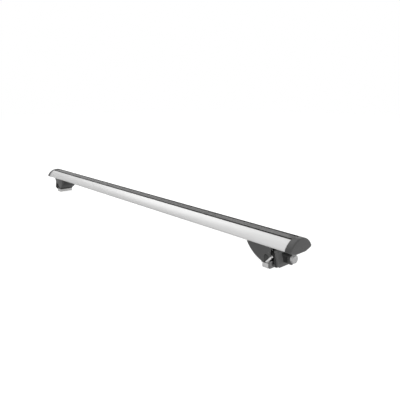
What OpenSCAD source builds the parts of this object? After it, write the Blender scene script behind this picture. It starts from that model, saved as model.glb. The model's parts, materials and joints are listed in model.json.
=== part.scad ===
// Roof rack crossbar for a car with raised roof rails, in millimetres.
// An aerofoil aluminium bar lies on two feet. Each foot grips its rail between a fixed inner jaw and an
// outer jaw that a long bolt draws in over the rail.
// X runs along the bar, Y along the car and Z up. The origin is on the ground, midway between the feet.

/* [Bar] */
// Length of the aluminium extrusion, without its end caps
bar_length = 1168; // [800:2:1600]
// Width of the aerofoil section, from its front edge to its rear edge
bar_width = 72; // [66:1:90]
// Height of the aerofoil section
bar_height = 29; // [28:0.5:34]
// Height of the section's front and rear edges above its underside
nose_height = 9.5; // [8:0.5:12]
// Radius of the front and rear edges
nose_radius = 3.5; // [2.5:0.5:5]
// Width of the flat along the underside
under_flat = 30; // [24:1:34]
// Wall thickness of the extrusion
bar_wall = 2.2; // [1.8:0.1:2.8]

/* [Slots] */
// Width of the mouth of the accessory channel on top
top_mouth = 11; // [9:0.5:13]
// Width of the accessory channel below its lips
top_channel_w = 20; // [17:0.5:22]
// Height of the accessory channel below its lips
top_channel_h = 5.5; // [4.5:0.5:6]
// Width of the mouth of the T-slot along the underside
under_mouth = 8; // [7:0.5:10]
// Width of the T-slot above its lips
under_channel_w = 18; // [16:0.5:20]
// Height of the T-slot above its lips
under_channel_h = 6.5; // [6:0.5:7]

/* [Rubber strip] */
// Width of the rubber strip on top
strip_w = 32; // [28:0.5:34]
// Depth of the seat that the strip lies in
strip_seat = 2; // [1.5:0.1:2.5]
// Height of the strip above the aluminium
strip_proud = 0.6; // [0.3:0.1:1.2]
// Number of ribs along the strip's middle band
strip_ribs = 9; // [5:2:11]
// Depth of the grooves between the ribs
rib_depth = 0.7; // [0.4:0.1:1]

/* [End caps] */
// Length of the end cap that shows
cap_length = 16; // [14:1:26]
// How far the cap's crown stands above the aluminium
cap_crown = 3.4; // [1:0.2:3.6]
// How far the cap stands proud of the extrusion round its edge
cap_proud = 0.5; // [0.3:0.1:1]
// Rounding of the cap's outer edge
cap_round = 3; // [1.5:0.5:4]
// Length of the plugs that hold the cap in the extrusion
plug_length = 16; // [10:1:24]

/* [Foot] */
// How far the bar reaches out beyond the inner rail pad, at each end
overhang = 45; // [36:1:190]
// Height of the bar's underside above the ground
foot_height = 48; // [46:0.5:56]
// Width of the foot shell where it meets the bar
shell_top_w = 62; // [58:1:66]
// Width of the foot shell at its tip
shell_tip_w = 50; // [49:1:56]
// Length of the foot shell along the bar, inwards from the rail pad
shell_length = 63; // [60:1:72]
// Wall thickness of the shell
shell_wall = 3; // [2:0.2:3.4]
// Radius of the shell's curved inner edge
shell_curve = 70; // [60:1:100]

/* [Inner jaw] */
// Width of the inner jaw, along the rail
jaw_bar_w = 48; // [42:1:50]
// Thickness of the inner jaw, along the bar
jaw_bar_t = 17; // [15:0.5:18]
// Height of the inner jaw
jaw_bar_h = 11; // [9:0.5:12]
// Thickness of the steel carrier
frame_t = 4; // [3:0.5:4.5]
// Width of the steel carrier
frame_w = 40; // [38:1:42]
// Thickness of the inner rail pad
pad_t = 5; // [3:0.5:6]
// Height of the inner rail pad
pad_h = 16; // [12:0.5:18]

/* [Outer jaw] */
// Width of the outer jaw, along the rail
outer_jaw_w = 48; // [40:1:49]
// Thickness of the outer jaw at its foot
outer_jaw_t = 6; // [4:0.5:9]
// Thickness of the rubber lining inside the outer jaw
lining_t = 6; // [3:0.5:8]
// Gap for the rail, pad to lining, as it stands
rail_gap = 10.5; // [6:0.5:16]
// How far the outer jaw can be opened from there
jaw_travel = 20; // [10:1:20]
// Radius of the outer jaw's curved back
jaw_curve = 66; // [60:1:90]

/* [Clamp bolt] */
// Diameter of the clamp bolt
bolt_d = 8; // [6:1:8]
// Depth of the clamp bolt below the underside of the bar
bolt_drop = 18; // [17.5:0.5:19]
// Width across flats of its hexagon head
head_af = 17; // [13:1:18]
// Height of its hexagon head
head_h = 6.5; // [5:0.5:8]
// Diameter of its washer
washer_d = 18; // [17:1:22]
// Thickness of its washer
washer_t = 1.6; // [1:0.2:3]
// Diameter of the cross nut that it screws into
cross_nut_d = 12; // [12:0.5:13]
// Length of the block's neck, from the outer jaw's back
neck_l = 11; // [8:1:14]
// Width of that neck
neck_w = 13; // [12:0.5:16]
// Height of that neck
neck_h = 22; // [18:0.5:24]
// Length of the block's collar under the washer
collar_l = 8; // [5:1:10]
// Width of that collar
collar_w = 18; // [16:0.5:20]
// Height of that collar
collar_h = 23; // [20:0.5:26]

/* [Hidden] */
// Clearance of parts that slide or seat against each other
slip = 0.3;
// Clearance of a bolt in the hole that it passes through
hole_slip = 0.3;
// Clearance of the clamp bolt in its thread
thread_slip = 0.05;

LEFT = -1;
RIGHT = 1;
// Facets of a circle, and of the large arcs of the sections
$fn = 48;
arc_fn = 240;
cut = 1;

function unit(v) = v / norm(v);

// Centre height of an arc whose centre lies on the section's axis, which passes through the edge of a flat
// and runs smoothly into the nose circle
function arc_centre(edge, nose, r) =
    let (
        a = edge * edge - nose * nose + r * r,
        b = 2 * (nose.y - edge.y),
        p = b * b - 4 * r * r,
        q = 2 * a * b + 8 * r * r * edge.y,
        s = a * a - 4 * r * r * edge * edge
    )
    (-q + sign(b) * sqrt(q * q - 4 * p * s)) / (2 * p);

// The aerofoil section: an upper arc and a lower arc that meet in round noses, with a flat above and below
nose_c = [bar_width / 2 - nose_radius, nose_height];
top_edge = [strip_w / 2, bar_height];
under_edge = [under_flat / 2, 0];
top_c = [0, arc_centre(top_edge, nose_c, nose_radius)];
under_c = [0, arc_centre(under_edge, nose_c, nose_radius)];
top_r = norm(top_edge - top_c);
under_r = norm(under_edge - under_c);
// Walls round the two slots
core_w = max(top_channel_w, under_channel_w) + 2 * bar_wall;
top_slot_floor = bar_height - strip_seat - bar_wall - top_channel_h;
under_slot_roof = bar_wall + under_channel_h;

// The foot's own frame: X outwards from the face of the inner rail pad, Z up from the ground
rail_span = bar_length - 2 * overhang;
bolt_z = foot_height - bolt_drop;
carrier_out = -pad_t;
web_in = carrier_out - frame_t;
jaw_in = carrier_out - jaw_bar_t;
saddle_t = 2;
deck_z = foot_height - saddle_t - frame_t;
deck_top = deck_z + frame_t;
// The deck stops short of the shell's curved inner edge, and reaches out over the rail
deck_back = 13;
deck_in = deck_back - shell_length;
deck_reach = 6;
deck_out = carrier_out + deck_reach;
// The shell reaches up to the height at which the bar is widest, and the bar's shape is cut from it
shell_high = foot_height + nose_height;
shell_out_top = 4.8;
shell_out_low = 1;
shell_corner_z = bolt_z;
shell_tip_x = jaw_in - 2;
shell_tip_z = jaw_bar_h + slip;
shell_tip_h = 2.5;
shell_arc_end = [shell_tip_x, shell_tip_z + shell_tip_h];
shell_arc_rise = 5;
shell_arc_start = [-shell_length, foot_height + shell_arc_rise];
arc_mid = (shell_arc_start + shell_arc_end) / 2;
arc_half = norm(shell_arc_end - shell_arc_start) / 2;
arc_dir = unit(shell_arc_end - shell_arc_start);
shell_centre = arc_mid + sqrt(pow(shell_curve, 2) - pow(arc_half, 2)) * [-arc_dir.y, arc_dir.x];
// Half the shell's width at a height, which grows with its lean from the tip up to the bar
shell_lean = (shell_top_w - shell_tip_w) / 2 / (foot_height - shell_tip_z);
function shell_half(z) = shell_tip_w / 2 + shell_lean * (z - shell_tip_z);
cross_nut_x = web_in - cross_nut_d / 2 - 0.1;
// The arched recess in each side of the shell, its floor, and the carrier's sides within
recess_r = 8;
recess_x = web_in - 0.5;
recess_z = bolt_z - 4.5;
recess_depth = 4.1;
recess_y = shell_half(bolt_z) - recess_depth;
recess_floor = 1.6;
cheek_t = 3;
cheek_y = recess_y - recess_floor - 2 * slip;
cross_nut_l = 2 * cheek_y;
cheek_drop = 5;
// Each cheek ends in a round nose that reaches out over the rail
cheek_nose = [2, bolt_z - 1.4];
cheek_nose_r = 2.6;
flange_in = shell_tip_x + shell_wall + slip;
lining_x = rail_gap;
jaw_x = lining_x + lining_t;
back_x = jaw_x + outer_jaw_t;
jaw_foot_z = 9;
jaw_top_z = foot_height - 3;
jaw_arc_z = 6;
// The jaw's face is flatter than its back, so the jaw thins towards its top
jaw_face_curve = jaw_curve * 1.3;
tongue_t = 4;
tongue_w = 7;
tongue_y = 8;
tongue_z = deck_z - 1 - tongue_t;
tongue_in = web_in - jaw_travel - 5;
// The block: a neck on the jaw's curved back, and a collar under the washer
jaw_fall = 2;
neck_end = back_x + neck_l - jaw_fall;
block_end = neck_end + collar_l;
block_sag = 2.75;
block_z = bolt_z - block_sag;
head_x = block_end + washer_t;
// The bolt still fills most of the nut when the jaw stands fully open
bolt_tip = cross_nut_x - cross_nut_d / 4 - jaw_travel;
slot_bolt_d = 6;
slot_bolt_inset = 9;
slot_bolt_pitch = 15;
slot_bolt_xs = [deck_in + slot_bolt_inset, deck_in + slot_bolt_inset + slot_bolt_pitch];
slot_nut_af = 10;
slot_nut_h = 4.4;
slot_washer_d = 12;
slot_washer_t = 1;
slot_head = [16, under_channel_w - 2, under_channel_h - 2];
screw_d = 5;
screw_head_d = 10;
screw_head_h = 3;
screw_ys = [-14, 14];
screw_x = (jaw_in + carrier_out) / 2;

aluminium = "#dcdee0";
rubber = "#5b5c5d";
plastic = "#474849";
steel = "#c4c6c7";
zinc = "#cfd0d0";
pad_grey = "#6d6e6f";

// The aerofoil, grown outwards by a margin
module aerofoil(grow = 0, fine = arc_fn) {
    up = nose_c + (nose_radius + grow) * unit(nose_c - top_c);
    down = nose_c + (nose_radius + grow) * unit(nose_c - under_c);
    high = bar_height + grow;
    intersection() {
        translate(top_c) circle(r = top_r + grow, $fn = fine);
        translate(under_c) circle(r = under_r + grow, $fn = fine);
        polygon([[-up.x, high], [up.x, high], up, nose_c, down, [down.x, -grow], [-down.x, -grow],
            [-down.x, down.y], [-nose_c.x, nose_c.y], [-up.x, up.y]]);
    }
    for (side = [LEFT, RIGHT])
        translate([side * nose_c.x, nose_c.y]) circle(r = nose_radius + grow);
}

// One of the two hollow chambers beside the slots, shrunk by a margin for the cap's plug
module side_chamber(side, shrink = 0) {
    inset = bar_wall + shrink;
    near = core_w / 2 + shrink;
    far = nose_c.x - shrink;
    intersection() {
        translate(top_c) circle(r = top_r - inset, $fn = arc_fn);
        translate(under_c) circle(r = under_r - inset, $fn = arc_fn);
        translate([side > 0 ? near : -far, inset])
            square([far - near, bar_height - 2 * inset]);
    }
}

module slot(mouth, channel_w, lip, channel_h) {
    translate([-mouth / 2, -cut]) square([mouth, lip + 2 * cut]);
    translate([-channel_w / 2, lip]) square([channel_w, channel_h]);
}

// A section in Y and Z at the bar's height, run along X between two places
module along_bar(from, to) {
    translate([from, 0, foot_height]) rotate([90, 0, 90]) linear_extrude(to - from) children();
}

module bar_extrusion() {
    color(aluminium) along_bar(-bar_length / 2, bar_length / 2) difference() {
        aerofoil();
        translate([-strip_w / 2, bar_height - strip_seat]) square([strip_w, strip_seat + cut]);
        translate([0, bar_height - strip_seat]) mirror([0, 1])
            slot(top_mouth, top_channel_w, bar_wall, top_channel_h);
        slot(under_mouth, under_channel_w, bar_wall, under_channel_h);
        for (side = [LEFT, RIGHT]) side_chamber(side);
        // The hollow between the two slots
        translate([bar_wall - core_w / 2, under_slot_roof + bar_wall])
            square([core_w - 2 * bar_wall, top_slot_floor - under_slot_roof - 2 * bar_wall]);
    }
}

// The strip lies in its seat, ribbed on top, and a barbed foot holds it in the channel
module top_rubber_strip() {
    seat_z = bar_height - strip_seat;
    lip_z = seat_z - bar_wall;
    top_z = bar_height + strip_proud;
    edge = strip_w / 2 - slip;
    neck = top_mouth / 2 - slip;
    barb = top_mouth / 2 + 1.5;
    barb_h = 3.5;
    groove = 1;
    band = strip_w - 7;
    pitch = band / strip_ribs;
    right_half = [[edge, top_z], [edge, seat_z], [neck, seat_z], [neck, lip_z - slip],
        [barb, lip_z - slip], [neck, lip_z - barb_h]];
    left_half = [for (i = [len(right_half) - 1 : -1 : 0]) [-right_half[i].x, right_half[i].y]];
    color(rubber) along_bar(-bar_length / 2, bar_length / 2) difference() {
        polygon(concat(right_half, left_half));
        for (i = [0 : strip_ribs])
            translate([i * pitch - band / 2 - groove / 2, top_z - rib_depth])
                square([groove, rib_depth + cut]);
    }
}

// A thin slice of the cap's outline, with its crown raised above the aluminium
module cap_slice(x, grow, crown) {
    slice = 0.2;
    facets = 64;
    translate([x, 0, foot_height]) rotate([90, 0, 90]) linear_extrude(slice) intersection() {
        union() {
            aerofoil(grow, facets);
            intersection() {
                translate(top_c) circle(r = top_r + grow, $fn = facets);
                translate([-strip_w / 2, bar_height / 2]) square([strip_w, bar_height]);
            }
        }
        translate([-bar_width, -bar_height]) square([2 * bar_width, 2 * bar_height + crown]);
    }
}

module end_cap(side) {
    end_x = bar_length / 2;
    tip_x = end_x + cap_length;
    color(plastic) mirror([side < 0 ? 1 : 0, 0, 0]) {
        hull() {
            $fn = 32;
            cap_slice(end_x, cap_proud, strip_proud);
            cap_slice(end_x + cap_length * 0.2, cap_proud, cap_crown);
            cap_slice(tip_x - cap_round, cap_proud, cap_crown);
            cap_slice(tip_x - cap_round * 0.3, cap_proud - cap_round * 0.3, cap_crown - cap_round * 0.3);
            cap_slice(tip_x - 0.2, cap_proud - cap_round * 0.9, cap_crown - cap_round * 0.9);
        }
        for (chamber = [LEFT, RIGHT])
            along_bar(end_x - plug_length, end_x + cut) side_chamber(chamber, slip);
    }
}

// Stands a foot's parts at one end of the bar, with X outwards from the rail pad's face
module at_foot(side) {
    mirror([side < 0 ? 1 : 0, 0, 0]) translate([rail_span / 2, 0, 0]) children();
}

// A profile in X and Z, as wide in Y as given and centred
module across(width) {
    translate([0, width / 2, 0]) rotate([90, 0, 0]) linear_extrude(width) children();
}

// A profile in Y and Z, run along X
module outwards(from, to) {
    translate([from, 0, 0]) rotate([90, 0, 90]) linear_extrude(to - from) children();
}

module bolt_hole(from, to, d) {
    translate([from, 0, bolt_z]) rotate([0, 90, 0]) cylinder(d = d, h = to - from);
}

// The shell's sides lean in towards its tip
module shell_taper(inset = 0) {
    top_y = shell_half(shell_high) - inset;
    low_y = shell_half(0) - inset;
    polygon([[-low_y, 0], [low_y, 0], [top_y, shell_high], [-top_y, shell_high]]);
}

// The shell's side profile, drawn in by a margin along its curved edge
module shell_profile(inset = 0) {
    intersection() {
        translate(shell_centre) circle(r = shell_curve - inset, $fn = arc_fn);
        translate([-2 * shell_length, shell_arc_end.y]) square([3 * shell_length, shell_high]);
    }
    translate([shell_tip_x + inset, 0]) square([shell_length, shell_corner_z]);
}

module shell_outline() {
    intersection() {
        shell_profile();
        polygon([[-2 * shell_length, shell_high], [shell_out_top, shell_high],
            [shell_out_low, shell_corner_z], [jaw_in + 4, shell_tip_z], [-2 * shell_length, shell_tip_z]]);
    }
}

// The moulded shell: two cheeks joined by the curved inner wall, open to the outside and below, where the
// carrier stands. Its upper edges follow the underside of the bar.
module foot_shell(side) {
    reach = 2 * shell_length;
    ledge_t = 2.5;
    ledge_in = 44;
    ledge_y = tongue_y + tongue_w + 2.5;
    color(plastic) at_foot(side) difference() {
        union() {
            difference() {
                intersection() {
                    across(2 * bar_width) shell_outline();
                    outwards(-reach, reach) shell_taper();
                }
                intersection() {
                    across(2 * bar_width) shell_profile(shell_wall);
                    outwards(-reach, reach) shell_taper(shell_wall);
                }
            }
            // Ledges under the edges of the carrier's deck
            intersection() {
                across(2 * bar_width) translate([-ledge_in, deck_z - ledge_t])
                    square([ledge_in + web_in - slip, ledge_t]);
                outwards(-reach, reach) difference() {
                    shell_taper(shell_wall / 2);
                    translate([-ledge_y, 0]) square([2 * ledge_y, foot_height]);
                }
            }
            // The walls and floors of the recesses
            intersection() {
                across(2 * bar_width) arch(recess_floor);
                across(2 * bar_width) shell_outline();
                outwards(-reach, reach) difference() {
                    shell_taper(shell_wall / 2);
                    translate([recess_floor - recess_y, 0])
                        square([2 * (recess_y - recess_floor), foot_height]);
                }
            }
        }
        // The bar, and the arched recesses
        outwards(-reach, reach) translate([0, foot_height]) aerofoil(slip);
        for (face = [LEFT, RIGHT])
            translate([0, face * (recess_y + bar_width / 2), 0]) across(bar_width) arch();
    }
}

// The outline of the arched recess in the shell's side, grown by a margin
module arch(grow = 0) {
    translate([recess_x, recess_z]) circle(r = recess_r + grow);
    translate([recess_x - recess_r - grow, 0]) square([2 * (recess_r + grow), recess_z]);
}

// The steel carrier: a deck under the bar, a web down to the rail, a flange on the inner jaw and, at each
// side, a slanting cheek whose edge shows below the shell and ends in a round nose
module carrier(side) {
    flange_z = jaw_bar_h;
    edge_from = [shell_tip_x + 4, shell_tip_z + 1];
    edge_to = [shell_out_low, shell_corner_z];
    along = unit(edge_to - edge_from);
    below = [along.y, -along.x];
    color(steel) at_foot(side) difference() {
        union() {
            across(frame_w) union() {
                translate([deck_in, deck_z]) square([deck_out - deck_in, frame_t]);
                translate([web_in, flange_z]) square([frame_t, deck_z - flange_z + cut]);
                translate([flange_in, flange_z]) square([carrier_out - flange_in, frame_t]);
            }
            intersection() {
                across(2 * cheek_y) {
                    intersection() {
                        polygon([edge_from + cheek_drop * below, edge_to + cheek_drop * below,
                            edge_to - cheek_t * below, edge_from - cheek_t * below]);
                        translate([edge_from.x, flange_z]) square([-slip - edge_from.x, foot_height]);
                    }
                    translate(cheek_nose) circle(r = cheek_nose_r);
                }
                outwards(-shell_length, shell_length) difference() {
                    translate([-cheek_y, 0]) square([2 * cheek_y, foot_height]);
                    translate([cheek_t - cheek_y, 0]) square([2 * (cheek_y - cheek_t), foot_height]);
                }
            }
        }
        bolt_hole(web_in - cut, carrier_out + cut, bolt_d + 2 * hole_slip);
        for (y = [-tongue_y - tongue_w, tongue_y])
            translate([web_in - cut, y - slip, tongue_z - slip])
                cube([frame_t + 2 * cut, tongue_w + 2 * slip, tongue_t + 2 * slip]);
        for (x = slot_bolt_xs)
            translate([x, 0, deck_z - cut]) cylinder(d = slot_bolt_d + 2 * hole_slip, h = frame_t + 2 * cut);
        for (y = screw_ys)
            translate([screw_x, y, flange_z - cut]) cylinder(d = screw_d, h = frame_t + 2 * cut);
    }
}

// The rubber pad between the carrier's deck and the bar, hollowed to the bar's underside
module saddle_pad(side) {
    color(rubber) at_foot(side) difference() {
        translate([deck_in, -frame_w / 2, deck_top])
            cube([deck_out - deck_in, frame_w, foot_height + bar_height / 4 - deck_top]);
        outwards(-2 * shell_length, 2 * shell_length) translate([0, foot_height]) aerofoil(slip);
        for (x = slot_bolt_xs)
            translate([x, 0, deck_top - cut]) cylinder(d = slot_bolt_d + 2 * hole_slip, h = bar_height);
    }
}

module slot_bolts(side) {
    head_z = foot_height + bar_wall + slip;
    tip_z = deck_z - slot_washer_t - slot_nut_h - 1;
    color(zinc) at_foot(side) for (x = slot_bolt_xs) {
        translate([x - slot_head.x / 2 + 1, -slot_head.y / 2, head_z])
            cube([slot_head.x - 2, slot_head.y, slot_head.z]);
        translate([x, 0, tip_z]) cylinder(d = slot_bolt_d, h = head_z - tip_z + cut);
    }
}

module slot_washers(side) {
    color(zinc) at_foot(side) for (x = slot_bolt_xs)
        translate([x, 0, deck_z - slot_washer_t]) difference() {
            cylinder(d = slot_washer_d, h = slot_washer_t);
            translate([0, 0, -cut]) cylinder(d = slot_bolt_d + hole_slip, h = slot_washer_t + 2 * cut);
        }
}

module hexagon(af, h) {
    cylinder(d = af / cos(30), h = h, $fn = 6);
}

module slot_nuts(side) {
    color(zinc) at_foot(side) for (x = slot_bolt_xs)
        translate([x, 0, deck_z - slot_washer_t - slot_nut_h]) difference() {
            hexagon(slot_nut_af, slot_nut_h);
            translate([0, 0, -cut]) cylinder(d = slot_bolt_d + 2 * thread_slip, h = slot_nut_h + 2 * cut);
        }
}

// The inner jaw: a steel bar that stands on the rail's inner foot, held up to the carrier by two screws
module inner_jaw(side) {
    bevel = 1.5;
    color(steel) at_foot(side) difference() {
        across(jaw_bar_w) polygon([[jaw_in + bevel, 0], [carrier_out - bevel, 0], [carrier_out, bevel],
            [carrier_out, jaw_bar_h], [jaw_in + bevel, jaw_bar_h], [jaw_in, jaw_bar_h - bevel],
            [jaw_in, bevel]]);
        for (y = screw_ys) translate([screw_x, y, 0]) {
            translate([0, 0, -cut]) cylinder(d = screw_d + 2 * hole_slip, h = jaw_bar_h + 2 * cut);
            translate([0, 0, -cut])
                cylinder(d = screw_head_d + 2 * hole_slip, h = screw_head_h + slip + 2 * cut);
        }
    }
}

module jaw_screws(side) {
    head_z = 2 * slip;
    color(zinc) at_foot(side) for (y = screw_ys) translate([screw_x, y, head_z]) difference() {
        union() {
            cylinder(d = screw_head_d, h = screw_head_h);
            cylinder(d = screw_d - 2 * thread_slip, h = jaw_bar_h + frame_t - head_z);
        }
        translate([0, 0, -cut]) hexagon(3, cut + 2);
    }
}

// The grey rubber pad on the outer face of the inner jaw and the carrier's web
module inner_pad(side) {
    pad_w = jaw_bar_w;
    groove = 1;
    grooves = 4;
    foot_z = 1;
    color(pad_grey) at_foot(side) across(pad_w) difference() {
        translate([carrier_out, foot_z]) square([pad_t, pad_h]);
        for (i = [1 : grooves])
            translate([-groove, foot_z + i * pad_h / (grooves + 1) - groove / 2])
                square([groove + cut, groove]);
    }
}

// The cross nut: a round steel bar behind the web, tapped across for the clamp bolt
module cross_nut(side) {
    color(zinc) at_foot(side) difference() {
        translate([cross_nut_x, 0, bolt_z]) rotate([90, 0, 0])
            cylinder(d = cross_nut_d, h = cross_nut_l, center = true);
        bolt_hole(cross_nut_x - cross_nut_d, cross_nut_x + cross_nut_d, bolt_d + 2 * thread_slip);
    }
}

// The outer jaw's side profile, between its curved back and its flatter face
module jaw_back(grow = 0) {
    translate([back_x - jaw_curve, jaw_arc_z]) circle(r = jaw_curve + grow, $fn = arc_fn);
}

module jaw_face(grow = 0) {
    translate([jaw_x - jaw_face_curve, jaw_arc_z]) circle(r = jaw_face_curve + grow, $fn = arc_fn);
}

module outer_jaw(side) {
    corner = 4;
    half = outer_jaw_w / 2;
    color(plastic) at_foot(side) difference() {
        union() {
            intersection() {
                across(2 * outer_jaw_w) difference() {
                    jaw_back();
                    jaw_face();
                }
                outwards(cut, 2 * back_x) polygon([[corner - half, jaw_foot_z], [half - corner, jaw_foot_z],
                    [half, jaw_foot_z + corner], [half, jaw_top_z], [-half, jaw_top_z],
                    [-half, jaw_foot_z + corner]]);
            }
            // Guide tongues that slide through the carrier's web
            for (y = [-tongue_y - tongue_w, tongue_y])
                translate([tongue_in, y, tongue_z]) cube([jaw_x - 2 - tongue_in, tongue_w, tongue_t]);
        }
        bolt_hole(0, 2 * back_x, bolt_d + 2 * hole_slip);
    }
}

// The rubber body inside the outer jaw, which meets the rail, with a hole for the bolt
module jaw_lining(side) {
    top_z = tongue_z - slip;
    color(rubber) at_foot(side) difference() {
        across(outer_jaw_w - 3) intersection() {
            difference() {
                jaw_face();
                jaw_face(-lining_t);
            }
            translate([0, jaw_foot_z - 1]) square([2 * back_x, top_z - jaw_foot_z + 1]);
        }
        bolt_hole(-cut, 2 * back_x, bolt_d + 2);
    }
}

// An upright slot-shaped outline
module upright_slot(w, h) {
    translate([-w / 2, (w - h) / 2]) square([w, h - w]);
    for (end = [LEFT, RIGHT]) translate([0, end * (h - w) / 2]) circle(r = w / 2);
}

// The block that seats on the jaw's curved back and squares the washer to the bolt
module thrust_block(side) {
    color(plastic) at_foot(side) difference() {
        union() {
            outwards(cut, neck_end + cut) translate([0, block_z]) upright_slot(neck_w, neck_h);
            outwards(neck_end, block_end) translate([0, block_z]) upright_slot(collar_w, collar_h);
        }
        across(2 * collar_w) jaw_back();
        bolt_hole(-cut, block_end + cut, bolt_d + 2 * hole_slip);
    }
}

module washer(side) {
    color(zinc) at_foot(side) difference() {
        bolt_hole(block_end, head_x, washer_d);
        bolt_hole(block_end - cut, head_x + cut, bolt_d + 2 * hole_slip);
    }
}

module clamp_bolt(side) {
    chamfer = 1;
    color(zinc) at_foot(side) {
        translate([head_x, 0, bolt_z]) rotate([0, 90, 0]) hexagon(head_af, head_h);
        bolt_hole(bolt_tip + chamfer, head_x + cut, bolt_d);
        translate([bolt_tip, 0, bolt_z]) rotate([0, 90, 0])
            cylinder(d1 = bolt_d - 2 * chamfer, d2 = bolt_d, h = chamfer);
    }
}

bar_extrusion();
top_rubber_strip();
end_cap(LEFT);  // end_cap_left
end_cap(RIGHT);  // end_cap_right
foot_shell(LEFT);  // foot_shell_left
foot_shell(RIGHT);  // foot_shell_right
carrier(LEFT);  // carrier_left
carrier(RIGHT);  // carrier_right
saddle_pad(LEFT);  // saddle_pad_left
saddle_pad(RIGHT);  // saddle_pad_right
slot_bolts(LEFT);  // slot_bolts_left
slot_bolts(RIGHT);  // slot_bolts_right
slot_washers(LEFT);  // slot_washers_left
slot_washers(RIGHT);  // slot_washers_right
slot_nuts(LEFT);  // slot_nuts_left
slot_nuts(RIGHT);  // slot_nuts_right
inner_jaw(LEFT);  // inner_jaw_left
inner_jaw(RIGHT);  // inner_jaw_right
inner_pad(LEFT);  // inner_pad_left
inner_pad(RIGHT);  // inner_pad_right
jaw_screws(LEFT);  // jaw_screws_left
jaw_screws(RIGHT);  // jaw_screws_right
cross_nut(LEFT);  // cross_nut_left
cross_nut(RIGHT);  // cross_nut_right
outer_jaw(LEFT);  // outer_jaw_left
outer_jaw(RIGHT);  // outer_jaw_right
jaw_lining(LEFT);  // jaw_lining_left
jaw_lining(RIGHT);  // jaw_lining_right
thrust_block(LEFT);  // thrust_block_left
thrust_block(RIGHT);  // thrust_block_right
washer(LEFT);  // washer_left
washer(RIGHT);  // washer_right
clamp_bolt(LEFT);  // clamp_bolt_left
clamp_bolt(RIGHT);  // clamp_bolt_right
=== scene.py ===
# %% [markdown]
# A roof rack crossbar: an aerofoil aluminium bar with a ribbed rubber strip and black end caps, on two feet
# that clamp a raised roof rail. The solid model gives every piece its place and size. Here each piece gets
# the rounded edges, threads and surfaces that the real one has, and the whole is lit as on a white table.
# %% Load the frame
import bpy
import bmesh
from math import atan2, cos, sin, radians, pi, sqrt
from mathutils import Vector, Matrix
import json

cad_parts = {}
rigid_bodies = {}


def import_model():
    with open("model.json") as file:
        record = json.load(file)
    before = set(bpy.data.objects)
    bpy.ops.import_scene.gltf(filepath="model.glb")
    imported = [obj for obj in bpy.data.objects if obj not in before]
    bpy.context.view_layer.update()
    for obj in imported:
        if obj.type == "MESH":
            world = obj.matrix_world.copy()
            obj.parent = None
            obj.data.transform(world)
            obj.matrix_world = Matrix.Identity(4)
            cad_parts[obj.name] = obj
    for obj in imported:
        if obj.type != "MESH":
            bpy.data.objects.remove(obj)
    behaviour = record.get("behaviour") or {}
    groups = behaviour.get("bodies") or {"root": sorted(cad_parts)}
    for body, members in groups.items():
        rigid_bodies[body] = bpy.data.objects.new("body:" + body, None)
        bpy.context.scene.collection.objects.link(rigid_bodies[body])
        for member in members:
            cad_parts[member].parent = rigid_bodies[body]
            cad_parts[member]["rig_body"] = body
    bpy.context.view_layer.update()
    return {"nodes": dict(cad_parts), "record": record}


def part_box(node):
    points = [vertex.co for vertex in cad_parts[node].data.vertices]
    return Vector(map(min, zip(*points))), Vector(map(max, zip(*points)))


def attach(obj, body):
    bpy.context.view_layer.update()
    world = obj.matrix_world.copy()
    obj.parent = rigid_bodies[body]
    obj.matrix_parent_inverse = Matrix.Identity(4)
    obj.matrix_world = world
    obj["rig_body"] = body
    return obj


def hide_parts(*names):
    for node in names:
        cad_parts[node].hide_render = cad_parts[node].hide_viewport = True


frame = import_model()
MM = 0.001

# %% [markdown]
# The camera stands where the photographer stood: a little above the bar and well round to its right end.
# Its bearing, height and lens were found by fitting the bar's long edges, which run to one vanishing point.
# The bar's middle lies off the picture's centre, so the camera is moved sideways and down by that much.
# %% Camera
BEARING, ELEVATION = radians(48.17), radians(13.4)
PICTURE_PX, FOCUS_PX, SENSOR_MM = 400, 423.3, 36
BAR_MIDDLE_TOP = Vector((0, 0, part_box("bar_extrusion")[1].z))
DISTANCE = 1.3035
LEFT_OF_CENTRE_PX, ABOVE_CENTRE_PX = 61.8, 7.0

back = Vector((sin(BEARING) * cos(ELEVATION), -cos(BEARING) * cos(ELEVATION), sin(ELEVATION)))
right = Vector((cos(BEARING), sin(BEARING), 0))
up = back.cross(right)
one_px = DISTANCE / FOCUS_PX
eye = (BAR_MIDDLE_TOP + back * DISTANCE + right * (LEFT_OF_CENTRE_PX * one_px)
       - up * (ABOVE_CENTRE_PX * one_px))
camera = bpy.data.objects.new("camera", bpy.data.cameras.new("camera"))
bpy.context.scene.collection.objects.link(camera)
camera.matrix_world = Matrix((right, up, back)).transposed().to_4x4()
camera.location = eye
camera.data.sensor_width = SENSOR_MM
camera.data.lens = FOCUS_PX / PICTURE_PX * SENSOR_MM
bpy.context.scene.camera = camera
print("camera at", [round(v, 3) for v in eye], "lens", round(camera.data.lens, 1), "mm")

# %% [markdown]
# Every finish below is a small sum of masks and noises. Writing such sums as chains of nodes hides them, so
# this class wraps a socket: + - * on wrapped values adds the Math nodes. The number may stand first as well,
# so 1 - mask turns a mask round.
# %% Sums on sockets
class Wire:
    """A socket on which sums can be written."""
    def __init__(self, nodes, socket):
        self.nodes, self.socket = nodes, socket

    def _sum(self, operation, a, b):
        return self.nodes.node("ShaderNodeMath", {"operation": operation}, {0: a, 1: b})

    def __add__(self, other): return self._sum("ADD", self, other)
    def __radd__(self, other): return self._sum("ADD", other, self)
    def __sub__(self, other): return self._sum("SUBTRACT", self, other)
    def __rsub__(self, other): return self._sum("SUBTRACT", other, self)
    def __mul__(self, other): return self._sum("MULTIPLY", self, other)
    def __rmul__(self, other): return self._sum("MULTIPLY", other, self)


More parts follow.
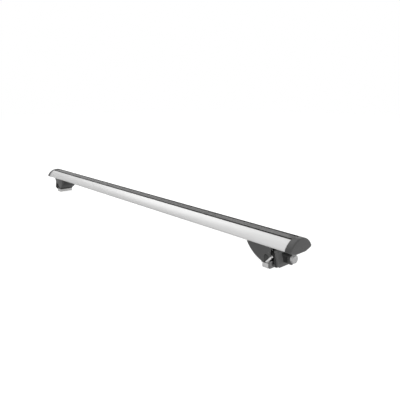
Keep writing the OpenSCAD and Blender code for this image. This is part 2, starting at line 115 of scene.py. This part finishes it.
class Nodes:
    """A node tree, and the one method that adds any node to it."""
    def __init__(self, tree):
        self.tree = tree

    def node(self, kind, settings=None, inputs=None, output=0):
        """Adds a node, sets its options first, then its values and links; returns one of its outputs."""
        made = self.tree.nodes.new(kind)
        for key, value in (settings or {}).items():
            setattr(made, key, value)
        for key, value in (inputs or {}).items():
            if isinstance(value, Wire):
                self.tree.links.new(value.socket, made.inputs[key])
            else:
                made.inputs[key].default_value = value
        return Wire(self, made.outputs[output])

# %% [markdown]
# A finish is one Principled shader, which describes plastic, rubber and metal alike, and the few helpers
# that its patterns need. Patterns are placed by the object's own coordinates in metres, so a noise scale of
# 1000 makes grains of about a millimetre, and stretching an axis draws the grains out into lines.
# %% A finish and its helpers
class Finish(Nodes):
    """A material built on one Principled shader."""
    def __init__(self, name, **constants):
        self.material = bpy.data.materials.new(name)
        self.material.use_nodes = True
        super().__init__(self.material.node_tree)
        self.shader = self.tree.nodes["Principled BSDF"]
        for socket, value in constants.items():
            self.shader.inputs[socket.replace("_", " ")].default_value = value

    def place(self, stretch=(1, 1, 1)):
        """The surface point in metres, stretched along each axis."""
        spot = self.node("ShaderNodeTexCoord", output="Object")
        return self.node("ShaderNodeMapping", {}, {"Vector": spot, "Scale": stretch})

    def off_middle(self):
        """How far the surface point lies from the bar's middle plane, in metres."""
        across = self.node("ShaderNodeSeparateXYZ", {}, {0: self.place()}, output="Y")
        return self.node("ShaderNodeMath", {"operation": "ABSOLUTE"}, {0: across})

    def noise(self, scale, detail, stretch=(1, 1, 1), roughness=0.5):
        """Grains between 0 and 1; an axis with a stretch below 1 draws them out."""
        return self.node("ShaderNodeTexNoise", {}, {"Vector": self.place(stretch), "Scale": scale,
                                                    "Detail": detail, "Roughness": roughness})

    def ramp(self, value, low, high):
        """0 below low, 1 above high, straight between."""
        return self.node("ShaderNodeMapRange", {}, {"Value": value, "From Min": low, "From Max": high,
                                                    "To Min": 0.0, "To Max": 1.0})

    def tint(self, mask, first, second):
        """A colour that goes from the first to the second with the mask; either may itself be a tint."""
        ends = [end if isinstance(end, Wire) else (*end, 1) for end in (first, second)]
        # The Mix node repeats its socket names for each kind of data; these are the numbers for colour
        factor, a, b, result = 0, 6, 7, 2
        return self.node("ShaderNodeMix", {"data_type": "RGBA"}, {factor: mask, a: ends[0], b: ends[1]},
                         output=result)

    def feed(self, socket, value):
        """Links a value to a socket of the shader."""
        self.tree.links.new(value.socket, self.shader.inputs[socket])

    def bump(self, height, distance, strength):
        """Makes the surface look as if the height, from 0 to 1, stood up by a distance in metres."""
        self.feed("Normal", self.node("ShaderNodeBump", {}, {"Height": height, "Distance": distance,
                                                             "Strength": strength}))

# %% [markdown]
# Colours are written as the grey that is seen on a screen, 0 to 255, because a picture's greys are read off
# on that scale. A shader wants the linear value, so grey() converts it, and adds a trace of warmth. Each
# finish is filed under the material slot that the record gives to its pieces.
# %% Greys, and a shelf for the finishes
def linear(level):
    """The linear value of a screen level from 0 to 255."""
    v = level / 255
    return v / 12.92 if v <= 0.04045 else ((v + 0.055) / 1.055) ** 2.4


def grey(level, warm=0.0):
    """A near-grey linear colour; warm above 0 leans to yellow, below 0 to blue."""
    v = linear(level)
    return (v * (1 + warm), v, v * (1 - warm))


FINISHES = {}


def file_under(slot, finish):
    FINISHES[slot] = finish.material
    print(slot, "is made with", len(finish.tree.nodes), "nodes")


print("grey 220 is", [round(v, 3) for v in grey(220)])

# %% [markdown]
# The bar is drawn through a die and then anodised. The die leaves hair-fine lines along the bar, and the
# anodising scatters light, so the sheen is satin. The lines are noise drawn out eighty times along X.
# %% Anodised aluminium
def anodised_aluminium():
    f = Finish("anodised aluminium", Metallic=0.45, IOR=1.5)
    lines = f.noise(scale=1100, detail=4, stretch=(0.012, 1, 1), roughness=0.65)
    clouds = f.noise(scale=9, detail=2)
    f.feed("Base Color", f.tint(lines * 0.55 + clouds * 0.45, grey(211, 0.002), grey(227, 0.002)))
    f.feed("Roughness", 0.32 + lines * 0.12 + clouds * 0.06)
    f.bump(lines, distance=0.02 * MM, strength=0.35)
    return f


file_under("anodised_aluminium", anodised_aluminium())

# %% [markdown]
# Caps, shells and blocks are moulded black plastic. The mould is eroded, which leaves a fine grain, and
# handling polishes it a little in patches. What is set back from the outer faces, such as the arched recess
# in a shell's side, gets painted shade: a mask of the distance from the middle finds it and darkens it.
# %% Moulded plastic
# Painted shade for the recesses: how much darker it makes them, and the width of its soft border
RECESS_PAINTED_SHADE, RECESS_SHADE_EDGE = 24, 0.6 * MM
# A little less than half the shell's width at its narrow tip: what lies nearer to the middle is set back
SHELL_FACE = 24.8 * MM


def moulded_plastic(name, level, rough, grain=0.06 * MM, outer_face=None):
    f = Finish(name, IOR=1.48)
    grains = f.noise(scale=2100, detail=2, roughness=0.6)
    patches = f.noise(scale=34, detail=3)
    colour = f.tint(patches * 0.7 + grains * 0.3, grey(level - 6), grey(level + 7, 0.004))
    if outer_face:
        # Painted shade: faces nearer to the middle than the outer face, such as the recess, are darkened
        painted_recess_shade = 1 - f.ramp(f.off_middle(), outer_face - RECESS_SHADE_EDGE, outer_face)
        colour = f.tint(painted_recess_shade, colour, grey(level - RECESS_PAINTED_SHADE))
    f.feed("Base Color", colour)
    f.feed("Roughness", rough + grains * 0.16 + patches * 0.10)
    f.bump(grains, distance=grain, strength=0.8)
    return f


file_under("cap_plastic", moulded_plastic("cap plastic", 60, rough=0.23))
file_under("shell_plastic", moulded_plastic("shell plastic", 80, rough=0.33, grain=0.08 * MM,
                                            outer_face=SHELL_FACE))
file_under("block_plastic", moulded_plastic("block plastic", 58, rough=0.37))

# %% [markdown]
# Rubber is duller than plastic and a shade greyer where it blooms. Pads and linings are pressed in a mould,
# so their grain has no direction.
# %% Rubber
def rubber(name, low, high):
    f = Finish(name, IOR=1.45)
    grains = f.noise(scale=1500, detail=3, roughness=0.6)
    bloom = f.noise(scale=16, detail=4)
    f.feed("Base Color", f.tint(bloom * 0.6 + grains * 0.4, grey(low), grey(high, 0.006)))
    f.feed("Roughness", 0.59 + grains * 0.18 + bloom * 0.08)
    f.bump(grains, distance=0.05 * MM, strength=0.7)
    return f


file_under("black_rubber", rubber("black rubber", 46, 60))
file_under("grey_rubber", rubber("grey pad rubber", 110, 130))

# %% [markdown]
# The strip on the bar is a paler rubber in the band that a load lies on, and its edges, which sit in the
# grooves beside the bar, are painted dark as shade. The border between them runs along the bar, in the groove
# beside the outermost rib, so the distance from the middle draws it. The strip is extruded, so its grain is
# drawn out along X.
# %% The strip's pale band and painted edge shade
BAND_HALF, BAND_BORDER = 9.2 * MM, 0.3 * MM


def strip_rubber():
    f = Finish("ribbed strip rubber", IOR=1.33)
    drag = f.noise(scale=1500, detail=3, stretch=(0.03, 1, 1), roughness=0.6)
    bloom = f.noise(scale=16, detail=4)
    band = f.tint(bloom * 0.5 + drag * 0.5, grey(142), grey(170, 0.006))
    # Painted shade: beyond the pale band the strip's edges are dark, as the shade in the grooves beside the
    # bar
    edge = f.ramp(f.off_middle(), BAND_HALF, BAND_HALF + BAND_BORDER)
    f.feed("Base Color", f.tint(edge, band, grey(38)))
    f.feed("Roughness", 0.66 + drag * 0.18 + bloom * 0.08)
    f.bump(drag, distance=0.05 * MM, strength=0.7)
    return f


file_under("strip_rubber", strip_rubber())

# %% [markdown]
# The inner jaw is bare steel with a brushed face. The carrier's steel is painted dark inside the foot as
# shade, and its cheeks are painted lighter than the jaw's steel so that they look lit where they show below
# the shell.
# Both are nearly fully metallic, so a metal's look comes from roughness and from what it reflects more than
# from its colour.
# %% Brushed steel
# Painted shade for the carrier inside the foot, its border with the cheeks, and how deep the cheeks' painted
# light reaches
CARRIER_PAINTED_SHADE, PAINTED_LIGHT_BORDER = grey(84), 0.3 * MM
CHEEK_FACE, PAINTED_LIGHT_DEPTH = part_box("carrier_right")[1].y, 2 * MM


def brushed_steel(name, low, high, painted_light_from=None):
    f = Finish(name, Metallic=0.9)
    strokes = f.noise(scale=1400, detail=3, stretch=(1, 0.02, 1), roughness=0.6)
    stain = f.noise(scale=60, detail=4)
    colour = f.tint(strokes * 0.5 + stain * 0.5, grey(low, 0.006), grey(high, 0.004))
    # Painted shade: the carrier is dark inside the foot, and only its cheeks keep the steel's colour, painted
    # light
    if painted_light_from:
        bright = f.ramp(f.off_middle(), painted_light_from - PAINTED_LIGHT_BORDER, painted_light_from)
        colour = f.tint(bright, CARRIER_PAINTED_SHADE, colour)
    f.feed("Base Color", colour)
    f.feed("Roughness", 0.24 + strokes * 0.16 + stain * 0.12)
    f.bump(strokes, distance=0.03 * MM, strength=0.5)
    return f


file_under("bright_steel", brushed_steel("brushed steel", 176, 214))
# The carrier's steel is lighter than the jaw's: painted light, so that its cheeks look lit in the foot's
# shade
CARRIER_STEEL = brushed_steel("carrier steel", 222, 244, painted_light_from=CHEEK_FACE - PAINTED_LIGHT_DEPTH).material

# %% [markdown]
# Bolts, nuts and washers are zinc plated. Zinc settles in tiny flat crystals that each catch the light
# their own way. Cells of a Voronoi pattern are just such patches, here a millimetre or two across.
# %% Zinc plate
def zinc_plate():
    f = Finish("zinc plate", Metallic=0.92)
    crystals = f.node("ShaderNodeTexVoronoi", {"feature": "F1"}, {"Vector": f.place(), "Scale": 700.0})
    cloud = f.noise(scale=120, detail=3)
    f.feed("Base Color", f.tint(crystals * 0.4 + cloud * 0.6, grey(158, 0.012), grey(198, -0.004)))
    f.feed("Roughness", 0.20 + crystals * 0.10 + cloud * 0.12)
    f.bump(crystals, distance=0.02 * MM, strength=0.5)
    return f


file_under("zinc_plate", zinc_plate())

# %% [markdown]
# The outer jaw is cast and powder coated. The powder melts into a skin like fine orange peel, which a coarse
# bump gives, and the coat is rubbed paler in a few spots: a noise whose middle is cut out by a ramp.
# %% Coated jaw
WEAR_FROM, WEAR_FULL = 0.60, 0.72


def coated_jaw():
    f = Finish("coated jaw", IOR=1.5)
    peel = f.noise(scale=900, detail=2)
    wear = f.ramp(f.noise(scale=140, detail=4), WEAR_FROM, WEAR_FULL)
    f.feed("Base Color", f.tint(wear * 0.5 + peel * 0.3, grey(78), grey(100, 0.004)))
    f.feed("Roughness", 0.36 + peel * 0.18)
    f.bump(peel, distance=0.08 * MM, strength=0.7)
    return f


file_under("coated_jaw", coated_jaw())

# %% [markdown]
# The record names a material slot for every piece, and so its finish. Only the carrier has a steel of its
# own, with painted shade inside and painted light on its cheeks. The solids get the finishes too, since a few
# of them stay in sight.
# %% Which piece has which finish
SLOT_OF = {s["node"]: s["material_slot"] for s in frame["record"]["subparts"]}


def finish_of(solid):
    return CARRIER_STEEL if solid.startswith("carrier") else FINISHES[SLOT_OF[solid]]


for name, node in frame["nodes"].items():
    node.data.materials.clear()
    node.data.materials.append(finish_of(name))
print(len(FINISHES) + 1, "finishes on", len(SLOT_OF), "solids")

# %% [markdown]
# Every finished piece is placed in the same way: it takes the finish of the solid that it stands for,
# rides on that solid's body and hides it. Faces that meet at a small angle shade as one surface.
# %% Dressing a solid
BODY_OF = {name: node["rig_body"] for name, node in frame["nodes"].items()}


def shade(piece, sharp_from):
    """Smooth shading, but for edges that turn by more than an angle."""
    for polygon in piece.data.polygons:
        polygon.use_smooth = True
    piece.data.set_sharp_from_angle(angle=sharp_from)


def dress(mesh, name, solid):
    """Makes an object of a mesh that stands for one solid."""
    piece = bpy.data.objects.new(name, mesh)
    bpy.context.scene.collection.objects.link(piece)
    mesh.materials.clear()
    mesh.materials.append(finish_of(solid))
    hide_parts(solid)
    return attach(piece, BODY_OF[solid])


# %% [markdown]
# Sawn, cast and moulded edges are never sharp: a radius of a few tenths of a millimetre catches a bright
# line of light. The solids have sharp edges, so each is copied, its doubled points are welded, its flat
# faces are merged, and a bevel runs along every edge that turns by more than the facets of a curve do.
# %% Rounded copies of the solids
WELD, SAME_PLANE, SMOOTH_UNDER = 0.002 * MM, radians(0.6), radians(35)


def rounded(solid, radius, segments=3, turn=radians(30)):
    """A copy of a solid with rounded edges."""
    work = bmesh.new()
    work.from_mesh(frame["nodes"][solid].data)
    bmesh.ops.remove_doubles(work, verts=work.verts, dist=WELD)
    bmesh.ops.dissolve_limit(work, angle_limit=SAME_PLANE, verts=work.verts, edges=work.edges)
    mesh = bpy.data.meshes.new(solid + "_finished")
    work.to_mesh(mesh)
    work.free()
    piece = dress(mesh, solid + "_finished", solid)
    bevel = piece.modifiers.new("edge", "BEVEL")
    bevel.width, bevel.segments = radius, segments
    bevel.limit_method, bevel.angle_limit = "ANGLE", turn
    bevel.use_clamp_overlap, bevel.harden_normals = False, False
    bpy.context.view_layer.update()
    bevelled = piece.evaluated_get(bpy.context.evaluated_depsgraph_get())
    mesh_with_edges = bpy.data.meshes.new_from_object(bevelled)
    piece.modifiers.clear()
    piece.data = mesh_with_edges
    shade(piece, SMOOTH_UNDER)
    return piece


EDGE_RADIUS = {
    "foot_shell": 0.5 * MM, "carrier": 0.3 * MM, "saddle_pad": 0.3 * MM, "slot_washers": 0.15 * MM,
    "slot_nuts": 0.25 * MM, "inner_jaw": 0.4 * MM, "inner_pad": 0.2 * MM, "jaw_screws": 0.25 * MM,
    "cross_nut": 0.4 * MM, "outer_jaw": 0.6 * MM, "jaw_lining": 0.2 * MM, "thrust_block": 0.5 * MM,
    "washer": 0.25 * MM,
}
for part, radius in EDGE_RADIUS.items():
    for side in ("left", "right"):
        made = rounded(f"{part}_{side}", radius)
    print(part, "has", len(made.data.polygons), "faces a side")

# %% [markdown]
# The end caps follow the bar's section, half a millimetre proud, and rise to a crown that covers the strip's
# end. The section is two large arcs that run into round noses. Where an arc through the edge of a flat must
# run into a given nose circle, its centre on the middle axis is the root of one quadratic equation.
# %% The bar's section
bar_low, bar_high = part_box("bar_extrusion")
BAR_Z, BAR_END, BAR_H = bar_low.z / MM, bar_high.x / MM, 29.0
NOSE, NOSE_R = Vector((32.5, 9.5)), 3.5
TOP_EDGE, UNDER_EDGE = Vector((16, BAR_H)), Vector((15, 0))


def arc_centre(edge, nose, r):
    """Centre, on the section's axis, of an arc through a flat's edge that runs into the nose circle."""
    a = edge.dot(edge) - nose.dot(nose) + r * r
    b = 2 * (nose.y - edge.y)
    p, q, s = b * b - 4 * r * r, 2 * a * b + 8 * r * r * edge.y, a * a - 4 * r * r * edge.dot(edge)
    return Vector((0, (-q + (1 if b > 0 else -1) * sqrt(q * q - 4 * p * s)) / (2 * p)))


TOP_C, UNDER_C = arc_centre(TOP_EDGE, NOSE, NOSE_R), arc_centre(UNDER_EDGE, NOSE, NOSE_R)
TOP_R, UNDER_R = (TOP_EDGE - TOP_C).length, (UNDER_EDGE - UNDER_C).length
print("upper arc radius", round(TOP_R, 1), "mm, lower arc radius", round(UNDER_R, 1), "mm")

# %% [markdown]
# One ring of the cap is that section grown outwards, with its top cut level at the crown's height. Half of
# it is drawn from the top middle round the nose to the bottom middle, and the other half is its mirror
# image. Every ring has the same number of points, so rings can be joined one to one.
# %% A ring round the cap
LID_POINTS, SIDE_POINTS, NOSE_POINTS, BASE_POINTS = 14, 22, 9, 8


def heading(direction):
    return atan2(direction.y, direction.x)


def arc(centre, radius, start, stop, count):
    """Points along an arc, from its first angle up to just before its last one."""
    angles = [start + (stop - start) * i / count for i in range(count)]
    return [centre + radius * Vector((cos(a), sin(a))) for a in angles]


def cap_ring(grow, crown):
    """The cap's outline as (y, z) in mm, grown outwards, with its lid at the crown's height."""
    lid = BAR_H + crown
    top_r, under_r, nose_r = TOP_R + grow, UNDER_R + grow, NOSE_R + grow
    peak = TOP_C.y + top_r
    lid_half = sqrt(max(top_r ** 2 - (lid - TOP_C.y) ** 2, 0)) if peak > lid else 0.0
    shoulder = Vector((lid_half, min(peak, lid)))
    base = UNDER_C + Vector((sqrt(under_r ** 2 - (UNDER_C.y + grow) ** 2), -UNDER_C.y - grow))
    into_nose, out_of_nose = heading(NOSE - TOP_C), heading(NOSE - UNDER_C)
    half = [Vector((lid_half * i / LID_POINTS, shoulder.y)) for i in range(LID_POINTS)]
    half += arc(TOP_C, top_r, heading(shoulder - TOP_C), into_nose, SIDE_POINTS)
    half += arc(NOSE, nose_r, into_nose, out_of_nose, NOSE_POINTS)
    half += arc(UNDER_C, under_r, out_of_nose, heading(base - UNDER_C), SIDE_POINTS)
    half += [Vector((base.x * (1 - i / BASE_POINTS), base.y)) for i in range(BASE_POINTS + 1)]
    return half + [Vector((-p.x, p.y)) for p in half[-2:0:-1]]


print("a cap ring has", len(cap_ring(0, 0)), "points")

# %% [markdown]
# A skin over such rings needs no modelling tool: every ring becomes a row of vertices, neighbours in two
# rows are joined by a four-sided face, and one face closes each end. That gives a clean and closed mesh
# whose vertices all lie on the true curve. The bolts are made with it too, from round and six-sided rings.
# %% Joining rings into a skin
def loft(rings, name):
    """A closed skin over rings of equally many points, with a face across each end."""
    work = bmesh.new()
    made = [[work.verts.new(point) for point in ring] for ring in rings]
    for near, far in zip(made, made[1:]):
        for i in range(len(near)):
            j = (i + 1) % len(near)
            work.faces.new((near[i], near[j], far[j], far[i]))
    work.faces.new(made[0][::-1])
    work.faces.new(made[-1])
    bmesh.ops.recalc_face_normals(work, faces=work.faces)
    mesh = bpy.data.meshes.new(name)
    work.to_mesh(mesh)
    work.free()
    print(name, "is a skin over", len(made), "rings of", len(made[0]), "points")
    return mesh

# %% [markdown]
# The cap is a loft of such rings, which gives one smooth skin where a hull of slices would show its facets.
# A small lip marks the joint with the bar. The crown then swells over the first quarter of the cap, so the
# strip seems to run in under it, and the outer edge is a quarter-round. All sizes are in millimetres.
# %% End caps
cap_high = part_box("end_cap_right")[1]
CAP_LENGTH, CAP_CROWN = cap_high.x / MM - BAR_END, cap_high.z / MM - BAR_Z - BAR_H
CAP_PROUD = 0.5
LIP, LIP_STEP, LIP_CROWN, START_CROWN = 0.35, 0.1, 0.75, 0.5
SWELL, SWELL_RINGS = 3.6, 8
ROUND, ROUND_DEPTH, ROUND_RINGS, BEFORE_ROUND = 3.0, 2.79, 10, 1.2
CAP_SMOOTH_UNDER = radians(40)


def cap_stations():
    """(distance from the bar's end, growth, crown) of each ring along the cap."""
    yield 0.0, LIP_STEP, START_CROWN
    yield LIP, CAP_PROUD - LIP_STEP, LIP_CROWN
    for i in range(1, SWELL_RINGS + 1):
        t = i / SWELL_RINGS
        yield LIP + SWELL * t, CAP_PROUD, LIP_CROWN + (CAP_CROWN - LIP_CROWN) * (1 - cos(pi * t)) / 2
    yield CAP_LENGTH - ROUND - BEFORE_ROUND, CAP_PROUD, CAP_CROWN
    for i in range(ROUND_RINGS):
        a = i / (ROUND_RINGS - 1) * pi / 2
        inset = ROUND_DEPTH * (1 - cos(a))
        yield CAP_LENGTH - ROUND * (1 - sin(a)), CAP_PROUD - inset, CAP_CROWN - inset


def end_cap(side, sign):
    rings = [[Vector((sign * (BAR_END + x), p.x, BAR_Z + p.y)) * MM for p in cap_ring(grow, crown)]
             for x, grow, crown in cap_stations()]
    name = f"end_cap_{side}_finished"
    piece = dress(loft(rings, name), name, f"end_cap_{side}")
    shade(piece, CAP_SMOOTH_UNDER)
    return piece


for side, sign in (("left", -1), ("right", 1)):
    cap = end_cap(side, sign)
print("a cap has", len(cap.data.polygons), "faces")

# %% [markdown]
# The bar and its strip keep the solids' sections, which are exact, and only get softer edges: the die
# rounds every lip by a quarter of a millimetre, and so do the ribs of the rubber. Only edges that turn by
# more than 40 degrees are rounded here, which leaves the facets of the section's small arcs as they are.
# %% Bar and rubber strip
bar = rounded("bar_extrusion", 0.22 * MM, segments=2, turn=radians(40))
strip = rounded("top_rubber_strip", 0.2 * MM, segments=2, turn=radians(40))
print("bar", len(bar.data.polygons), "faces, strip", len(strip.data.polygons), "faces")

# %% [markdown]
# The clamp bolt is what tightens the foot, so its thread is real: a tube whose radius falls and rises along
# a helix of 1.25 mm pitch, and which fades out before the plain shank. Rings of the tube are taken six times
# a turn, and the angle round the ring sets how deep the groove is there.
# %% Thread of the clamp bolts
bolt_low, bolt_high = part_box("clamp_bolt_right")
BOLT_Z, PAD_FACE = (bolt_low.z + bolt_high.z) / 2 / MM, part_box("inner_pad_right")[1].x / MM
BOLT_R, PITCH, HEAD_H = 3.98, 1.25, 6.5
TIP_X, HEAD_X = bolt_low.x / MM - PAD_FACE, bolt_high.x / MM - PAD_FACE - HEAD_H
TIP_R, TIP_CHAMFER = 3.0, 1.0
THREAD_END, THREAD_DEPTH, RINGS_A_TURN, FADING_RINGS, RUN_OUT = -4.0, 0.62, 6, 10, 0.6
AROUND = 36
ANGLES = [2 * pi * k / AROUND for k in range(AROUND)]


def shank_stations():
    """(x, radius, thread depth) along the shank in mm, from the tip to the head."""
    yield TIP_X, TIP_R, 0.0
    thread_from, step = TIP_X + TIP_CHAMFER, PITCH / RINGS_A_TURN
    count = int((THREAD_END - thread_from) / step)
    for i in range(count):
        yield thread_from + i * step, BOLT_R, THREAD_DEPTH * min(1.0, (count - i) / FADING_RINGS)
    for x in (THREAD_END + RUN_OUT, HEAD_X - 0.5, HEAD_X + 0.2):
        yield x, BOLT_R, 0.0


def groove(x, angle, handed):
    """How far the thread has fallen at a point: 0 on the crest, 1 at the root."""
    phase = (x / PITCH - handed * angle / (2 * pi)) % 1.0
    return 1 - abs(2 * phase - 1)


print(len(list(shank_stations())), "rings along the shank")

# %% [markdown]
# The head is a hexagon whose corners are turned off by a cone, which is how the bright ring on a bolt's head
# comes about: at each depth a point lies on the hexagon or on the cone, whichever is nearer to the axis. The
# top has a shallow dish, as cold forging leaves it.
# %% Heads of the clamp bolts
HEAD_AF = 17.0
CORNER = HEAD_AF / 2 / cos(pi / 6)
# (depth from the underside in mm, the cone's share of the corner's reach)
CONE = [(0.0, 0.94), (0.25, 0.965), (0.5, 1.0),
        (HEAD_H - 1.35, 1.0), (HEAD_H - 0.9, 0.955), (HEAD_H - 0.45, 0.90), (HEAD_H, 0.835)]
# (depth from the underside, radius) of the dish, both in mm
DISH = [(HEAD_H, 4.2), (HEAD_H - 0.5, 3.5), (HEAD_H - 0.5, 0.8)]
BOLT_SMOOTH_UNDER = radians(28)


def hexagon_reach(angle):
    """Distance from the axis to the hexagon's side in a direction."""
    turn = (angle + pi / 6) % (pi / 3) - pi / 6
    return HEAD_AF / 2 / cos(turn)


def clamp_bolt(side, sign):
    """The bolt on one side, whose thread is right-handed as seen from its own head."""
    def ring(x, reaches):
        return [Vector((sign * (PAD_FACE + x), reach * sin(a), BOLT_Z + reach * cos(a))) * MM
                for a, reach in zip(ANGLES, reaches)]
    rings = [ring(x, [radius - depth * groove(x, a, sign) for a in ANGLES])
             for x, radius, depth in shank_stations()]
    rings += [ring(HEAD_X + depth, [min(hexagon_reach(a), CORNER * share) for a in ANGLES])
              for depth, share in CONE]
    rings += [ring(HEAD_X + depth, [radius] * AROUND) for depth, radius in DISH]
    name = f"clamp_bolt_{side}_finished"
    piece = dress(loft(rings, name), name, f"clamp_bolt_{side}")
    shade(piece, BOLT_SMOOTH_UNDER)
    return piece


for side, sign in (("left", -1), ("right", 1)):
    bolt = clamp_bolt(side, sign)
print("a clamp bolt has", len(bolt.data.polygons), "faces")

# %% [markdown]
# The bar stands on a white table under soft light. The world is white to look at and a plain dark grey as
# a source of light. Light Path tells the two apart: it is 1 for rays from the camera, from a mirror or
# through glass, and 0 for those that light the object.
# %% World
WORLD_LIGHT = 0.13


def seen_directly(nodes, mirrored=1.0):
    """1 for rays from the camera, a share for those from reflections, 0 for those that light the object."""
    from_camera = nodes.node("ShaderNodeLightPath", output="Is Camera Ray")
    from_mirror = nodes.node("ShaderNodeLightPath", output="Is Glossy Ray")
    through_glass = nodes.node("ShaderNodeLightPath", output="Is Transmission Ray")
    seen = nodes.node("ShaderNodeMath", {"operation": "MAXIMUM"}, {0: from_camera, 1: from_mirror * mirrored})
    return nodes.node("ShaderNodeMath", {"operation": "MAXIMUM"}, {0: seen, 1: through_glass})


world = bpy.data.worlds.new("studio")
bpy.context.scene.world = world
world.use_nodes = True
sky = Nodes(world.node_tree)
background = world.node_tree.nodes["Background"]
background.inputs["Color"].default_value = (1, 1, 1, 1)
strength = WORLD_LIGHT + seen_directly(sky) * (1 - WORLD_LIGHT)
world.node_tree.links.new(strength.socket, background.inputs["Strength"])
print("the world lights with", WORLD_LIGHT, "and looks like 1.0")

# %% [markdown]
# The table is lit like the part and so keeps its shadow. It adds light of its own only where the camera or
# a reflection looks at it, which lifts the lit part to white. In reflections it glows a little less, since
# a bar that stands over a real table sees its own shadow there. It is the only thing that is not the part.
# %% Table
TABLE_HALF, TABLE_GREY, TABLE_GLOW, GLOW_MIRRORED = 9, 0.30, 0.965, 0.75
table_mesh = bpy.data.meshes.new("table")
corners = [(x * TABLE_HALF, y * TABLE_HALF, 0) for x, y in ((-1, -1), (1, -1), (1, 1), (-1, 1))]
table_mesh.from_pydata(corners, [], [(0, 1, 2, 3)])
table = bpy.data.objects.new("table", table_mesh)
bpy.context.scene.collection.objects.link(table)
white = Finish("table white", Base_Color=(TABLE_GREY, TABLE_GREY, TABLE_GREY, 1), Roughness=0.9,
               Specular_IOR_Level=0.0, Emission_Color=(1, 1, 1, 1))
white.feed("Emission Strength", seen_directly(white, GLOW_MIRRORED) * TABLE_GLOW)
table_mesh.materials.append(white.material)
print("the table is", 2 * TABLE_HALF, "m wide")

# %% [markdown]
# Two large soft lights hang high over the bar's far half, so the upper faces are the brightest and the faces
# below the nose fall off. Only the second of them shows in reflections, where it draws the long sheen on the
# aluminium. A small low light by the near end reaches the cap's face and opens the shadows in the foot.
# %% Lights
def soft_light(name, place, target, size, power):
    """A round lamp of a width in metres and a power in watts, aimed at a point."""
    lamp = bpy.data.objects.new(name, bpy.data.lights.new(name, "AREA"))
    lamp.data.shape, lamp.data.size, lamp.data.energy = "DISK", size, power
    lamp.location = place
    lamp.rotation_euler = (Vector(target) - Vector(place)).to_track_quat("-Z", "Y").to_euler()
    bpy.context.scene.collection.objects.link(lamp)
    return lamp


top = soft_light("top light", place=(-1.2, -0.3, 2.0), target=(-0.2, 0, 0.06), size=3.2, power=27)
sheen = soft_light("sheen light", place=(-1.5, 0.0, 2.0), target=(-0.3, 0, 0.06), size=2.6, power=18)
low = soft_light("front light", place=(1.40, -0.42, 0.13), target=(0.58, 0, 0.03), size=0.3, power=8.3)
for lamp in (top, low):
    lamp.visible_camera = lamp.visible_glossy = False
bpy.context.scene.view_settings.view_transform = "Standard"
print("lamps of", [lamp.data.energy for lamp in (top, sheen, low)], "W")
